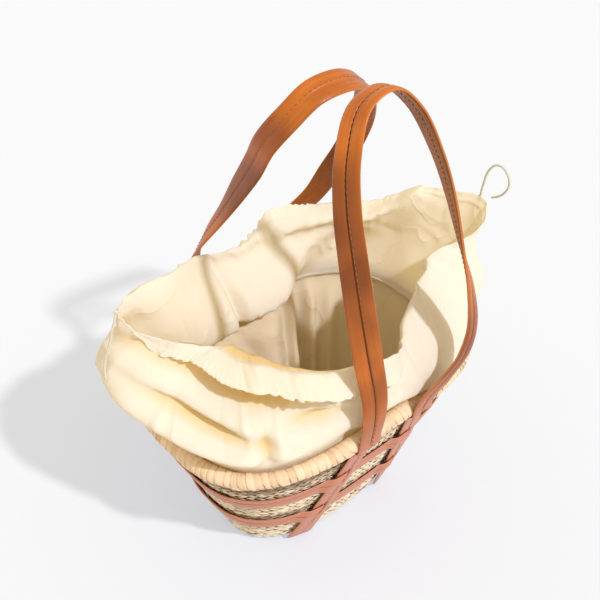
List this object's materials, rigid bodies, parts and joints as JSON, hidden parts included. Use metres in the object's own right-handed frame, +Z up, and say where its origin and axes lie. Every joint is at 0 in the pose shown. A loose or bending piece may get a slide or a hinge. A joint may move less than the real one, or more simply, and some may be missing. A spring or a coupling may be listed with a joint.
{
  "type": "straw basket bag",
  "caption": "Plaited straw basket bag with a wound rim, leather handles and bands threaded through them, and a cotton lining whose drawstring top is folded open.",
  "frame": {"origin": "middle of the base's underside, on the floor", "axes": "+X along the mouth's long side, +Y towards the back, +Z up; the front wall faces -Y"},
  "size_m": [0.4314, 0.2871, 0.4951],
  "materials": {
    "straw": "matt plaited palm straw",
    "leather": "satin tan",
    "cotton": "plain weave",
    "cord": "twisted cotton"
  },
  "bodies": {
    "root": {"basket_body": "straw", "rim_roll": "straw", "band_upper": "leather", "band_lower": "leather", "handle_front": "leather", "handle_back": "leather", "lining": "cotton", "drawstring_collar": "cotton", "drawstring_left": "cord", "drawstring_right": "cord"}
  },
  "joints": []
}
